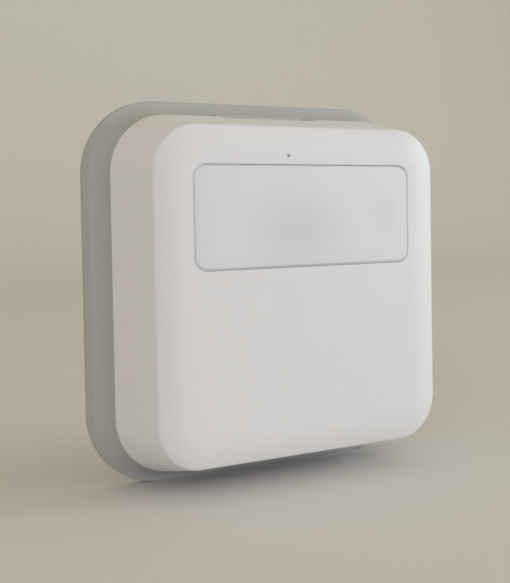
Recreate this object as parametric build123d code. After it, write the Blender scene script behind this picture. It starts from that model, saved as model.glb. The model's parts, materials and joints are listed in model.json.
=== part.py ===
from build123d import *
from math import atan, cos, degrees, pi, sin, sqrt
import os

os.makedirs("parts", exist_ok=True)

# A battery-powered room motion sensor: a square white sensor body that pulls off a grey wall plate.
# Lengths are in millimetres. X is to the right as seen from the room, +Y goes into the wall, +Z is up.
# The origin is the middle of the wall plate's back face. Depths are distances from the wall, so a
# depth d is at Y = -d, and every "low" depth is nearer the wall than its "high" one.

# Every outline is a square with rounded corners about the same four corner centres, this far out.
CORNER = 22.5

# Sensor body, outside
FRONT_HALF = 31.0
FRONT_DEPTH = 20.1
CROWN_DEPTH = 21.35
CROWN_HALF = 25.0
CROWN_STEPS = 5
REAR_HALF = 33.8
REAR_DEPTH = 7.3
WALL = 1.8
FRONT_WALL_DEPTH = 19.4
POST_ROOT = 19.6
POST_RADIUS = 2.4
POST_LOW = 7.15
PEG_X = 26.4
PEG_ZS = (8.5, 20.0)
PEG_RADIUS = 0.7
HOOK_X = 15.0
HOOK_WIDTH = 6.0
HOOK_LOW = 9.6
HOOK_HIGH = 11.2

# Window and its lens
WINDOW_WIDTH = 47.75
WINDOW_HEIGHT = 19.13
WINDOW_Z = 14.27
WINDOW_RADIUS = 2.45
WINDOW_GROOVE = 0.35
LENS_SKIN = 0.8
LENS_FLANGE = 0.8
LENS_RIM = 0.7
FLANGE_WIDTH = 49.6
FLANGE_HEIGHT = 21.4
FLANGE_RADIUS = 3.5
FLANGE_Z = 14.3
LENS_COLUMNS = 5
LENS_PITCH = 8.9
LENS_ROW = 4.1
RING_RADII = (1.1, 2.1, 3.1)
RING_WIDTH = 0.25
FRAME_LOW = 16.9
FRAME_HIGH = 18.45
FRAME_EAR = 1.8

# Wall plate
PLATE_HALF = 36.8
RIM_DEPTH = 2.0
PLATE_TOP_HALF = 33.5
PLATE_DEPTH = 7.1
COVE_STEPS = 5
GROOVE_OUTER = 34.8
GROOVE_INNER = 33.2
GROOVE_DEPTH = 3.0
GROOVE_BRIDGE = 26.0
FLOOR = 1.8
TRAY_HALF = 31.6
WALL_SCREW_SPACING = 44.0
WALL_SCREW_HOLE = 2.0

# Rear cover
CHASSIS_HALF = 31.2
PANEL_LOW = 4.4
PANEL_HIGH = 5.8
SKIRT = 1.4
SKIRT_HIGH = 9.0

# Circuit board
BOARD_LOW = 7.6
BOARD_HIGH = 8.6
BOARD_HALF = 28.0
BOARD_BOTTOM = -2.0
BOARD_TOP = 28.4

# Two AAA cells, one above the other, lying along X
CELL_LENGTH = 44.5
CELL_RADIUS = 5.25
SLEEVE = 0.19
NUB_RADIUS = 1.9
NUB_LENGTH = 1.0
CELL_DEPTH = 12.9
UPPER_Z = -9.3
LOWER_Z = -20.6
BAY_HALF = 25.6
BAY_BOTTOM = -26.2
BAY_TOP = -3.7
BAY_WALL = 1.2
BAY_HIGH = 18.3
CONTACT_X = 25.2
CONTACT = 0.4
DIMPLE = 0.4
CONTACT_GAP = 0.1

# Release button. Its web stands in a slot in the plate's top flank, behind a notch in the body.
BUTTON_HALF = 10.0
BUTTON_HIGH = 4.6
BUTTON_TOP = 34.3
BUTTON_THICK = 1.4
NOTCH_HALF = 11.0
NOTCH_HIGH = 9.6
BUTTON_SLOT_HALF = 10.5
BUTTON_SLOT_TOP = 34.4
SLIDER_HALF = 8.0
SLIDER_BOTTOM = 23.0
SLIDER_LOW = 1.9
SLIDER_HIGH = 3.0
RAIL_LENGTH = 8.0
RAIL_Z = 26.0
RAIL_LIP = 3.2
RAIL_HIGH = 3.9
SPRING_SEAT_Z = 18.2
NOSE_Z = 25.3
NOSE_HIGH = 6.8

# Screws, and the small controls on the back
CASE_SCREW = 26.5
BOARD_SCREWS = [(-25.0, 1.5), (20.5, 1.5), (12.0, 25.5)]
PAIR_X = -14.0
PAIR_Z = 20.0
TAMPER_X = 14.0
TAMPER_Z = 17.0
LED_X = -3.9
LED_Z = 25.5
PIPE_RADIUS = 1.0
PIPE_SLEEVE = 1.55
PIPE_NOTCH = 1.8
INDICATOR_RADIUS = 0.5
TAMPER_POST_HIGH = 3.9
LUG_X = 14.0
LUG_Z = -28.7
RUNNING = 0.05

# Infrared detector
DETECTOR_LOW = 9.0
DETECTOR_HIGH = 13.2
DETECTOR_FLANGE_HIGH = 9.5
DETECTOR_RADIUS = 4.15
FILTER_WIDTH = 4.0
FILTER_HEIGHT = 3.0
FILTER_LOW = 12.7
COLLAR_RADIUS = 6.4
COLLAR_HIGH = 12.4

# Radio
RADIO_X = -18.5
RADIO_BOARD_HIGH = 9.4
SHIELD_HIGH = 11.4
SHIELD_Z = 14.2
ANTENNA_Z = 26.8
ANTENNA_LOW = 11.2


def at(depth):
    """The plane parallel to the wall at this depth, facing the room."""
    return Plane.XZ.offset(depth)


def block(width, height, low, high, x=0.0, z=0.0):
    return extrude(at(low) * Pos(x, z) * Rectangle(width, height), amount=high - low)


def slab(width, height, radius, low, high, x=0.0, z=0.0):
    return extrude(at(low) * Pos(x, z) * RectangleRounded(width, height, radius), amount=high - low)


def disc(radius, low, high, x=0.0, z=0.0):
    return extrude(at(low) * Pos(x, z) * Circle(radius), amount=high - low)


def tube(outer, inner, low, high, x=0.0, z=0.0):
    return disc(outer, low, high, x, z) - disc(inner, low, high, x, z)


def rod_along_x(radius, start, end, z, depth):
    return Pos((start + end) / 2, -depth, z) * Rot(0, 90, 0) * Cylinder(radius, end - start)


def square(half, low, high, taper=0.0):
    """A rounded square of this half width at its low depth, shrinking by the taper angle."""
    outline = at(low) * RectangleRounded(2 * half, 2 * half, half - CORNER)
    return extrude(outline, amount=high - low, taper=taper)


def flare(*sections):
    """A rounded square whose half width changes evenly from each (depth, half width) to the next."""
    solid = None
    for (low, half), (high, next_half) in zip(sections, sections[1:]):
        layer = square(half, low, high, degrees(atan((half - next_half) / (high - low))))
        solid = layer if solid is None else solid + layer
    return solid


def coil(start, end, radius, turns, wire, plane):
    """A round-wire spring along the plane's normal, between two heights above it."""
    height = end - start - 2 * wire
    path = Helix(height / turns, height, radius, center=(0, 0, start + wire))
    section = Plane(origin=path @ 0, z_dir=path % 0) * Circle(wire)
    return plane * sweep(section, path=path)


def both_sides(x):
    return (-x, x)


def save(name, shape):
    shape.label = name
    export_step(shape, f"parts/{name}.step")


# Sensor body: the parts that are seen


def crown_sections():
    """The front's soft shoulder: an arc from the front edge that runs out level on the flat crown."""
    run = FRONT_HALF - CROWN_HALF
    rise = CROWN_DEPTH - FRONT_DEPTH
    radius = (run**2 + rise**2) / (2 * rise)
    across = [run * (1 - step / CROWN_STEPS) for step in range(CROWN_STEPS + 1)]
    return [(CROWN_DEPTH - radius + sqrt(radius**2 - x**2), CROWN_HALF + x) for x in across]


def front_cover():
    shell = flare((REAR_DEPTH, REAR_HALF), *crown_sections())
    shell -= flare((REAR_DEPTH, REAR_HALF - WALL), (FRONT_WALL_DEPTH, FRONT_HALF - WALL))
    through = (19.0, 22.0)
    shell -= slab(WINDOW_WIDTH, WINDOW_HEIGHT, WINDOW_RADIUS, *through, 0, WINDOW_Z)
    shell += disc(PIPE_SLEEVE, 16.0, POST_ROOT, LED_X, LED_Z)
    shell -= disc(PIPE_RADIUS + RUNNING, 15.0, POST_ROOT - 0.1, LED_X, LED_Z)
    shell -= disc(INDICATOR_RADIUS, *through, LED_X, LED_Z)
    for x in both_sides(CASE_SCREW):
        shell += disc(POST_RADIUS, POST_LOW, POST_ROOT, x, CASE_SCREW)
        shell -= disc(0.9, REAR_DEPTH - 0.3, 14.0, x, CASE_SCREW)
    for x in both_sides(PEG_X):
        for z in PEG_ZS:
            shell += disc(PEG_RADIUS, 16.2, POST_ROOT, x, z)
    for x in both_sides(HOOK_X):
        shell -= block(HOOK_WIDTH + 1.0, 0.9, HOOK_LOW, HOOK_HIGH, x, -31.45)
    notch_low = REAR_DEPTH - 1.0
    shell -= slab(2 * NOTCH_HALF, 8.0, 1.0, notch_low, NOTCH_HIGH, 0, 33.5)
    return shell


def pir_lens():
    gap = 2 * WINDOW_GROOVE
    width = WINDOW_WIDTH - gap
    height = WINDOW_HEIGHT - gap
    radius = WINDOW_RADIUS - WINDOW_GROOVE
    flange_low = FRONT_WALL_DEPTH - 0.1 - LENS_FLANGE
    lens = slab(width, height, radius, flange_low, CROWN_DEPTH, 0, WINDOW_Z)
    flange_high = flange_low + LENS_FLANGE
    lens += slab(FLANGE_WIDTH, FLANGE_HEIGHT, FLANGE_RADIUS, flange_low, flange_high, 0, FLANGE_Z)
    inside = CROWN_DEPTH - LENS_SKIN
    wall = 2 * LENS_RIM
    lens -= slab(width - wall, height - wall, radius - LENS_RIM, flange_low, inside, 0, WINDOW_Z)
    for column in range(LENS_COLUMNS):
        for row in (-1, 1):
            x = (column - LENS_COLUMNS // 2) * LENS_PITCH
            z = WINDOW_Z + row * LENS_ROW
            for ring in RING_RADII:
                lens -= tube(ring + RING_WIDTH, ring, inside - 0.1, inside + 0.2, x, z)
    return lens - disc(PIPE_NOTCH, 17.0, 20.0, LED_X, LED_Z)


def lens_frame():
    low = FRAME_LOW
    high = FRAME_HIGH
    frame = slab(FLANGE_WIDTH + 0.4, FLANGE_HEIGHT + 0.4, FLANGE_RADIUS, low, high, 0, FLANGE_Z)
    for x in both_sides(PEG_X):
        for z in PEG_ZS:
            frame += disc(FRAME_EAR, low, high, x, z)
            frame += block(3.0, 2 * FRAME_EAR, low, high, x * 0.94, z)
    frame -= slab(45.2, 16.6, 1.5, low, high, 0, WINDOW_Z)
    for x in both_sides(PEG_X):
        for z in PEG_ZS:
            frame -= disc(PEG_RADIUS + RUNNING, low, high, x, z)
    return frame - disc(PIPE_NOTCH, low, high, LED_X, LED_Z)


def light_pipe():
    pipe = disc(PIPE_RADIUS, 9.45, FRONT_WALL_DEPTH, LED_X, LED_Z)
    return pipe + disc(INDICATOR_RADIUS - RUNNING, FRONT_WALL_DEPTH, 20.9, LED_X, LED_Z)


def rear_cover():
    cover = square(CHASSIS_HALF, PANEL_LOW, SKIRT_HIGH)
    cover -= square(CHASSIS_HALF - SKIRT, PANEL_HIGH, SKIRT_HIGH)
    cover = add_battery_bay(cover)
    cover = add_screw_seats(cover)
    cover = add_button_recess(cover)
    cover -= disc(2.5 + RUNNING, PANEL_LOW, PANEL_HIGH, PAIR_X, PAIR_Z)
    cover -= disc(1.2 + RUNNING, PANEL_LOW, PANEL_HIGH, TAMPER_X, TAMPER_Z)
    for x in both_sides(LUG_X):
        cover -= block(9.0, 2.1, PANEL_LOW, PANEL_HIGH, x, LUG_Z)
    for x in both_sides(HOOK_X):
        cover += block(HOOK_WIDTH, 1.0, 7.0, 12.0, x, -30.2)
        cover += block(HOOK_WIDTH, 1.1, HOOK_LOW + 0.2, HOOK_HIGH - 0.2, x, -31.0)
    return cover


def add_battery_bay(cover):
    height = BAY_TOP - BAY_BOTTOM
    middle = (BAY_TOP + BAY_BOTTOM) / 2
    outer_width = 2 * (BAY_HALF + BAY_WALL)
    cover += slab(outer_width, height + 2 * BAY_WALL, 2.0, PANEL_LOW, BAY_HIGH + 0.9, 0, middle)
    cover -= slab(2 * BAY_HALF, height, 0.8, PANEL_LOW, BAY_HIGH, 0, middle)
    cover += block(2 * BAY_HALF - 4, 0.8, 15.9, BAY_HIGH, 0, (UPPER_Z + LOWER_Z) / 2)
    return cover - block(0.8, 1.6, 8.4, 12.6, CONTACT_X, BAY_TOP + BAY_WALL / 2)


def add_screw_seats(cover):
    for x in both_sides(CASE_SCREW):
        cover += disc(3.1, PANEL_LOW, 7.1, x, CASE_SCREW)
        cover -= disc(2.2, PANEL_LOW, 6.1, x, CASE_SCREW)
        cover -= disc(1.15, 6.0, 7.1, x, CASE_SCREW)
        cover -= disc(2.8, 7.1, SKIRT_HIGH, x, CASE_SCREW)
    cover &= square(CHASSIS_HALF, PANEL_LOW, FRONT_DEPTH)
    for x, z in BOARD_SCREWS:
        cover += disc(2.2, PANEL_HIGH, BOARD_LOW, x, z)
        cover -= disc(0.85, 4.9, BOARD_LOW, x, z)
    return cover


def add_button_recess(cover):
    """Room for the release button at the top edge, and the window that its nose reaches through."""
    recess_bottom = 29.9
    cover += block(2 * NOTCH_HALF + 2.8, 1.2, PANEL_LOW, 7.2, 0, recess_bottom - 0.6)
    cover -= block(2 * NOTCH_HALF + 0.4, 3.0, PANEL_LOW, SKIRT_HIGH, 0, recess_bottom + 1.5)
    return cover - block(7.2, 4.0, PANEL_LOW, PANEL_HIGH, 0, 24.7)


# Circuit board and what is on it


def circuit_board():
    height = BOARD_TOP - BOARD_BOTTOM
    board = block(2 * BOARD_HALF, height, BOARD_LOW, BOARD_HIGH, 0, (BOARD_TOP + BOARD_BOTTOM) / 2)
    for x in both_sides(BOARD_HALF):
        board -= block(10.4, 11.2, BOARD_LOW, BOARD_HIGH, x, BOARD_TOP)
    for x, z in BOARD_SCREWS:
        board -= disc(1.1, BOARD_LOW, BOARD_HIGH, x, z)
    for x, z in detector_pins_places():
        board -= disc(0.3, BOARD_LOW, BOARD_HIGH, x, z)
    return board


def detector_pins_places():
    return [(-1.8, WINDOW_Z - 1.8), (1.8, WINDOW_Z - 1.8), (0.0, WINDOW_Z + 2.5)]


def pir_pins():
    return Compound([disc(0.24, 7.1, 9.0, x, z) for x, z in detector_pins_places()])


def pir_can():
    can = disc(4.6, DETECTOR_LOW, DETECTOR_FLANGE_HIGH, 0, WINDOW_Z)
    can += disc(DETECTOR_RADIUS, DETECTOR_FLANGE_HIGH, DETECTOR_HIGH, 0, WINDOW_Z)
    return can - block(FILTER_WIDTH, FILTER_HEIGHT, FILTER_LOW, DETECTOR_HIGH, 0, WINDOW_Z)


def pir_filter():
    gap = 0.02
    return block(FILTER_WIDTH - 2 * gap, FILTER_HEIGHT - 2 * gap, FILTER_LOW + gap, 13.1, 0, WINDOW_Z)


def pir_collar():
    return tube(COLLAR_RADIUS, 4.7, BOARD_HIGH, COLLAR_HIGH, 0, WINDOW_Z)


def radio_board():
    return block(13.0, 15.0, BOARD_HIGH, RADIO_BOARD_HIGH, RADIO_X, 12.5)


def radio_shield():
    can = slab(11.0, 9.6, 0.8, RADIO_BOARD_HIGH, SHIELD_HIGH, RADIO_X, SHIELD_Z)
    return can - block(10.4, 9.0, RADIO_BOARD_HIGH, SHIELD_HIGH - 0.3, RADIO_X, SHIELD_Z)


def antenna():
    strip = block(14.0, 1.4, ANTENNA_LOW, ANTENNA_LOW + 0.4, -14.0, ANTENNA_Z)
    for x in (-20.75, -16.0):
        strip += block(0.5, 1.4, BOARD_HIGH, ANTENNA_LOW, x, ANTENNA_Z)
    return strip


def microcontroller():
    side = 7.0
    top = BOARD_HIGH + 0.95
    package = block(side, side, BOARD_HIGH + 0.05, top, 13.5, 5.0)
    return package - disc(0.4, top - 0.1, top, 10.9, 7.6)


def crystal():
    return slab(3.2, 2.5, 0.4, BOARD_HIGH, BOARD_HIGH + 0.75, 20.5, 6.5)


def reservoir_capacitor():
    side = 5.3
    foot_high = BOARD_HIGH + 0.6
    foot = block(side, side, BOARD_HIGH, foot_high, 18.5, 15.0)
    return foot + disc(2.5, foot_high, 13.8, 18.5, 15.0)


def chip_components():
    chips = []
    for column in range(6):
        for z in (0.6, 2.6):
            chips.append(block(1.6, 0.8, BOARD_HIGH, BOARD_HIGH + 0.55, -17.0 + 4.2 * column, z))
    return Compound(chips)


def status_led():
    return block(1.6, 1.2, BOARD_HIGH, BOARD_HIGH + 0.7, LED_X, LED_Z)


def pairing_switch():
    body = block(4.2, 3.2, 6.7, BOARD_LOW, PAIR_X, PAIR_Z)
    return body - disc(0.8 + RUNNING, 6.7, 7.2, PAIR_X, PAIR_Z)


def pairing_plunger():
    return disc(0.8, 6.3, 6.9, PAIR_X, PAIR_Z)


def pairing_button():
    return disc(3.2, 5.85, 6.25, PAIR_X, PAIR_Z) + disc(2.5, 4.6, 5.85, PAIR_X, PAIR_Z)


def tamper_switch():
    body = block(5.0, 5.0, 6.2, BOARD_LOW, TAMPER_X, TAMPER_Z)
    return body - disc(1.9, 6.2, 7.2, TAMPER_X, TAMPER_Z)


def tamper_plunger():
    return disc(1.7, 6.1, 6.45, TAMPER_X, TAMPER_Z) + disc(1.2, 3.95, 6.1, TAMPER_X, TAMPER_Z)


def tamper_spring():
    return coil(6.47, 7.18, 1.2, 2, 0.11, Plane.XZ * Pos(TAMPER_X, TAMPER_Z))


# Batteries and their contacts. The upper cell's nub points right, the lower cell's points left.


def cell(side, z):
    """The steel can and its nub. side is 1 when the nub points right and -1 when it points left."""
    tip = CONTACT_X - CONTACT / 2 - DIMPLE - CONTACT_GAP
    can = rod_along_x(CELL_RADIUS - SLEEVE, tip - CELL_LENGTH, tip - NUB_LENGTH, z, CELL_DEPTH)
    can += rod_along_x(NUB_RADIUS, tip - NUB_LENGTH, tip, z, CELL_DEPTH)
    return can if side > 0 else mirror(can, Plane.YZ)


def sleeve(side, z):
    """The printed jacket round a cell, rolled over at both ends."""
    tip = CONTACT_X - CONTACT / 2 - DIMPLE - CONTACT_GAP
    start = tip - CELL_LENGTH + 0.5
    end = tip - NUB_LENGTH - 0.5
    jacket = rod_along_x(CELL_RADIUS, start, end, z, CELL_DEPTH)
    jacket -= rod_along_x(CELL_RADIUS - SLEEVE + 0.01, start, end, z, CELL_DEPTH)
    return jacket if side > 0 else mirror(jacket, Plane.YZ)


def contact_spring(side, z):
    """A coil against a cell's flat end. side is 1 at the right-hand contacts."""
    plate = CONTACT_X - CONTACT / 2
    tip = plate - DIMPLE - CONTACT_GAP
    flat_end = CELL_LENGTH - tip
    plane = Plane(origin=(side * plate, -CELL_DEPTH, z), z_dir=(-side, 0, 0))
    return coil(0.02, plate - flat_end - CONTACT_GAP, 2.9, 4, 0.3, plane)


def positive_contact():
    plate = block(CONTACT, 8.4, 10.4, 15.4, CONTACT_X, UPPER_Z)
    plate += block(CONTACT, 6.9, 10.4, 12.4, CONTACT_X, -1.65)
    plate += block(CONTACT, 1.6, BOARD_HIGH, 10.4, CONTACT_X, 1.0)
    face = CONTACT_X - CONTACT / 2
    return plate + rod_along_x(1.6, face - DIMPLE, face, UPPER_Z, CELL_DEPTH)


def negative_contact():
    plate = block(CONTACT, 8.4, 8.7, 17.1, CONTACT_X, LOWER_Z)
    return plate + block(CONTACT, 16.0, BOARD_HIGH, 9.8, CONTACT_X, -8.4)


def link_contact():
    plate = block(CONTACT, 19.7, 8.7, 17.1, -CONTACT_X, (UPPER_Z + LOWER_Z) / 2)
    face = -CONTACT_X + CONTACT / 2
    return plate + rod_along_x(1.6, face, face + DIMPLE, LOWER_Z, CELL_DEPTH)


# Screws


def screw(x, z, seat, tip, head_radius, head, shank, head_towards_wall):
    """A cross-head screw whose head sits on the seat depth and whose shank ends at the tip depth."""
    outer = seat - head if head_towards_wall else seat + head
    inner = outer + 0.6 if head_towards_wall else outer - 0.6
    body = disc(head_radius, min(seat, outer), max(seat, outer), x, z)
    body += disc(shank, min(seat, tip), max(seat, tip), x, z)
    for width, height in ((0.4, 1.6), (1.6, 0.4)):
        body -= block(width, height, min(outer, inner), max(outer, inner), x, z)
    return body


def case_screws():
    return Compound([screw(x, CASE_SCREW, 6.1, 13.0, 2.0, 1.4, 0.87, True) for x in both_sides(CASE_SCREW)])


def board_screws():
    return Compound([screw(x, z, BOARD_HIGH, 5.1, 1.8, 1.2, 0.82, False) for x, z in BOARD_SCREWS])


# Wall plate and release button


def wall_plate():
    plate = flare((0, PLATE_HALF), *cove_sections())
    plate -= square(TRAY_HALF, FLOOR, PLATE_DEPTH)
    plate -= back_groove()
    for x in both_sides(WALL_SCREW_SPACING / 2):
        plate -= disc(WALL_SCREW_HOLE, 0, FLOOR, x, 0)
    plate += disc(1.8, FLOOR, TAMPER_POST_HIGH, TAMPER_X, TAMPER_Z)
    for x in both_sides(LUG_X):
        plate += block(8.0, 1.4, FLOOR, 6.4, x, LUG_Z)
    return add_button_guide(plate)


def cove_sections():
    """The plate's hollow flank: a quarter of an ellipse from the rim in to the lip."""
    run = PLATE_HALF - PLATE_TOP_HALF
    rise = PLATE_DEPTH - RIM_DEPTH
    angles = [pi / 2 * step / COVE_STEPS for step in range(COVE_STEPS + 1)]
    return [(PLATE_DEPTH - rise * cos(a), PLATE_HALF - run * sin(a)) for a in angles]


def back_groove():
    """The hollow that keeps the sloping flank as thin as the rest of the plate."""
    groove = flare((0, GROOVE_OUTER), (GROOVE_DEPTH, GROOVE_OUTER - 1.0))
    groove -= square(GROOVE_INNER, 0, GROOVE_DEPTH)
    return groove - block(GROOVE_BRIDGE, 6.0, 0, GROOVE_DEPTH, 0, 34.0)


def add_button_guide(plate):
    """The rails, spring seat and slot that the release button slides in."""
    slot = BUTTON_SLOT_TOP - TRAY_HALF
    plate -= block(2 * BUTTON_SLOT_HALF, slot, FLOOR, PLATE_DEPTH, 0, TRAY_HALF + slot / 2)
    for side in (-1, 1):
        plate += block(1.2, RAIL_LENGTH, FLOOR, RAIL_HIGH, side * (SLIDER_HALF + 0.8), RAIL_Z)
        plate += block(1.8, RAIL_LENGTH, RAIL_LIP, RAIL_HIGH, side * (SLIDER_HALF + 0.5), RAIL_Z)
    return plate + block(4.0, 1.4, FLOOR, 4.0, 0, SPRING_SEAT_Z - 0.7)


def release_button():
    middle = BUTTON_TOP - BUTTON_THICK / 2
    web = block(2 * BUTTON_HALF, BUTTON_THICK, SLIDER_LOW, BUTTON_HIGH, 0, middle)
    slider_top = BUTTON_TOP - BUTTON_THICK + 0.2
    slider_middle = (slider_top + SLIDER_BOTTOM) / 2
    slider = block(2 * SLIDER_HALF, slider_top - SLIDER_BOTTOM, SLIDER_LOW, SLIDER_HIGH, 0, slider_middle)
    nose = block(6.0, 1.8, SLIDER_HIGH, NOSE_HIGH, 0, NOSE_Z)
    return web + slider + nose


def release_spring():
    gap = 0.02
    plane = Plane(origin=(0, -3.05, 0), z_dir=(0, 0, 1))
    return coil(SPRING_SEAT_Z + gap, SLIDER_BOTTOM - gap, 0.85, 6, 0.16, plane)


PARTS = {
    "wall_plate": wall_plate(),
    "release_button": release_button(),
    "release_spring": release_spring(),
    "front_cover": front_cover(),
    "pir_lens": pir_lens(),
    "lens_frame": lens_frame(),
    "light_pipe": light_pipe(),
    "rear_cover": rear_cover(),
    "circuit_board": circuit_board(),
    "pir_can": pir_can(),
    "pir_filter": pir_filter(),
    "pir_pins": pir_pins(),
    "pir_collar": pir_collar(),
    "radio_board": radio_board(),
    "radio_shield": radio_shield(),
    "antenna": antenna(),
    "microcontroller": microcontroller(),
    "crystal": crystal(),
    "reservoir_capacitor": reservoir_capacitor(),
    "chip_components": chip_components(),
    "status_led": status_led(),
    "pairing_switch": pairing_switch(),
    "pairing_plunger": pairing_plunger(),
    "pairing_button": pairing_button(),
    "tamper_switch": tamper_switch(),
    "tamper_plunger": tamper_plunger(),
    "tamper_spring": tamper_spring(),
    "upper_cell": cell(1, UPPER_Z),
    "upper_sleeve": sleeve(1, UPPER_Z),
    "lower_cell": cell(-1, LOWER_Z),
    "lower_sleeve": sleeve(-1, LOWER_Z),
    "upper_battery_spring": contact_spring(-1, UPPER_Z),
    "lower_battery_spring": contact_spring(1, LOWER_Z),
    "positive_contact": positive_contact(),
    "negative_contact": negative_contact(),
    "link_contact": link_contact(),
    "case_screws": case_screws(),
    "board_screws": board_screws(),
}

for name, shape in PARTS.items():
    save(name, shape)
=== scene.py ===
"""Looks of a battery-powered motion sensor: a white flared body on a grey wall plate.

Lengths in this file are in millimetres until a mesh is made, when MM turns them into metres.
A depth is a distance from the wall, so a depth d is at Y = -d in the row frame.
"""

import json
import math

import bmesh
import bpy
from mathutils import Matrix, Vector


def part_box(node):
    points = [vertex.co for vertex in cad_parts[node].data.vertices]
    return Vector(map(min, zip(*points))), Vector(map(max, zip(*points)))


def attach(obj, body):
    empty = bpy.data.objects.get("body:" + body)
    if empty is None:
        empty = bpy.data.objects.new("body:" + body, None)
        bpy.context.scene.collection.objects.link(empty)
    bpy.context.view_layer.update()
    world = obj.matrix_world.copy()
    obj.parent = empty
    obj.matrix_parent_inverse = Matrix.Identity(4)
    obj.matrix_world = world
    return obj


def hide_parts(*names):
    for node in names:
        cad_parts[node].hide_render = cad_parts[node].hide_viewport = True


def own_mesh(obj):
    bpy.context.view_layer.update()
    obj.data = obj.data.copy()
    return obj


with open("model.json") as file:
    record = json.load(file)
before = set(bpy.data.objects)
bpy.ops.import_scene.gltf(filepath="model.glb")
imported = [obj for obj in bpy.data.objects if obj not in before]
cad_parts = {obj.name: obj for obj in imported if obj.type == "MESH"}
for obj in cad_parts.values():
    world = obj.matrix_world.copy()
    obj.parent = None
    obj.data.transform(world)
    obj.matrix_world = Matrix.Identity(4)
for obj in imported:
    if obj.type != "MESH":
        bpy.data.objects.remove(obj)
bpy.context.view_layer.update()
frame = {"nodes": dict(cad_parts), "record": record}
MM = 0.001


def cad_box(node):
    """A CAD node's lowest and highest corners in millimetres."""
    low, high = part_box(node)
    return low / MM, high / MM


# Sizes taken from the frame
PLATE_LOW, PLATE_HIGH = cad_box("wall_plate")
COVER_LOW, COVER_HIGH = cad_box("front_cover")
BUTTON_LOW, BUTTON_HIGH = cad_box("release_button")
PLATE_HALF = PLATE_HIGH.x
PLATE_DEPTH = -PLATE_LOW.y
REAR_HALF = COVER_HIGH.x
REAR_DEPTH = -COVER_HIGH.y
CROWN_DEPTH = -COVER_LOW.y

# Every outline is a square with rounded corners about the same four corner centres
CORNER = 22.5
CORNER_STEPS = 24
FILLET_STEPS = 5
HOLD = 0.12

# Front cover
FRONT_HALF = 31.0
FRONT_DEPTH = 20.1
CROWN_HALF = 25.0
CROWN_STEPS = 12
WALL = 1.8
FRONT_WALL_DEPTH = 19.4
FRONT_EDGE = 0.7
INNER_EDGE = 0.5
REAR_EDGE = 0.3

# Posts, pegs and pockets inside the front cover
ROOT_DEPTH = FRONT_WALL_DEPTH + 0.2
POST = 26.5
POST_RADIUS = 2.4
POST_LOW = 7.15
SCREW_RADIUS = 0.9
SCREW_LOW = 7.0
SCREW_HIGH = 14.0
PEG_X = 26.4
PEG_ZS = (8.5, 20.0)
PEG_RADIUS = 0.7
PEG_LOW = 16.2
HOOK_X = 15.0
HOOK_POCKET = Vector((3.5, 0.8, 0.45))
HOOK_POCKET_DEPTH = 10.4
HOOK_POCKET_Z = -31.45

# Window and lens. The groove round the lens is a shoulder on the lens, which rises by a share
# of its drop at the two ends
WINDOW_X = 23.875
WINDOW_HALF_Z = 9.565
WINDOW_Z = 14.27
WINDOW_RADIUS = 2.45
WINDOW_EDGE = 0.22
GROOVE = 0.35
LENS_EDGE = 0.14
LENS_HOLD = 0.02
LENS_SKIN = 0.8
LENS_RIM = 0.7
FLANGE_GAP = 0.1
FLANGE_REACH = 1.0
FLANGE_THICK = 0.8
FLANGE_EDGE = 0.2
INSIDE_EDGE = 0.3
SHOULDER_DROP = 0.5
SHOULDER = 0.3
END_RISE = 0.78
RING_RADII = (1.1, 2.1, 3.1)
RING_WIDTH = 0.25
RING_DEPTH = 0.2
RING_PITCH_X = 8.9
RING_Z = 4.1

# Surface grain, in features to a metre and in metres
GRAIN = 9000.0
GRAIN_DEPTH = 0.000004
LENS_GRAIN = 5000.0
LENS_GRAIN_DEPTH = 0.000002

# The lens's colour, and painted shade on it that stands in for the dim shadows of the detector, frame and
# board behind it: middle (x, z), half sizes, and how much darker
LENS_COLOUR = (0.79, 0.80, 0.807)
LENS_PAINTED_SHADE = [
    ((-2.0, 11.5), (16.0, 11.0), 0.105),
    ((-24.0, 12.0), (7.0, 40.0), 0.055),
    ((18.2, 14.5), (5.0, 6.0), 0.06),
    # painted shade, darker towards the window's bottom edge
    ((0.0, 3.0), (60.0, 6.0), 0.06),
]

# Wall plate, with a groove round its back that is bridged behind the button
RIM_DEPTH = 2.0
RIM_EDGE = 0.25
LIP_EDGE = 0.2
GROOVE_EDGE = 0.1
FLOOR_EDGE = 0.4
LIP_HALF = 33.5
TRAY_HALF = 31.6
FLOOR_DEPTH = 1.8
TRAY_WALL_HALF = 33.2
GROOVE_DEPTH = 3.0
GROOVE_OUTER_HALF = 34.8
GROOVE_INNER_HALF = 33.8
BRIDGE_HALF = 13.0
COVE_FIRST = 3
COVE_STEPS = 20
WALL_SCREW_X = 22.0
WALL_SCREW_RADIUS = 2.0

# What stands in the plate's tray
TRAY_ROOT = FLOOR_DEPTH - 0.3
FOOT_RADIUS = 1.3
FOOT_HIGH = FLOOR_DEPTH + 0.12
FOOT_X = 26.0
FOOT_Z = 18.0
TAMPER_X = 14.0
TAMPER_Z = 17.0
TAMPER_POST_RADIUS = 1.8
TAMPER_POST_HIGH = 3.9
LUG_X = 14.0
LUG_Z = -28.7
LUG_HALF = 4.0
LUG_HALF_Z = 0.7
LUG_HIGH = 6.4

# Indicator hole, by radius: the light pipe's sleeve, its bore, a narrower bore and the surface's pin-hole
LED_X = -3.9
LED_Z = 25.5
SLEEVE_RADIUS = 1.55
SLEEVE_LOW = 16.0
PIPE_BORE = 1.05
PIPE_BORE_LOW = 15.0
PIPE_BORE_HIGH = 19.5
LED_BORE = 0.5
LED_HOLE = 0.35
LED_SKIN_DEPTH = 20.95

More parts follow.
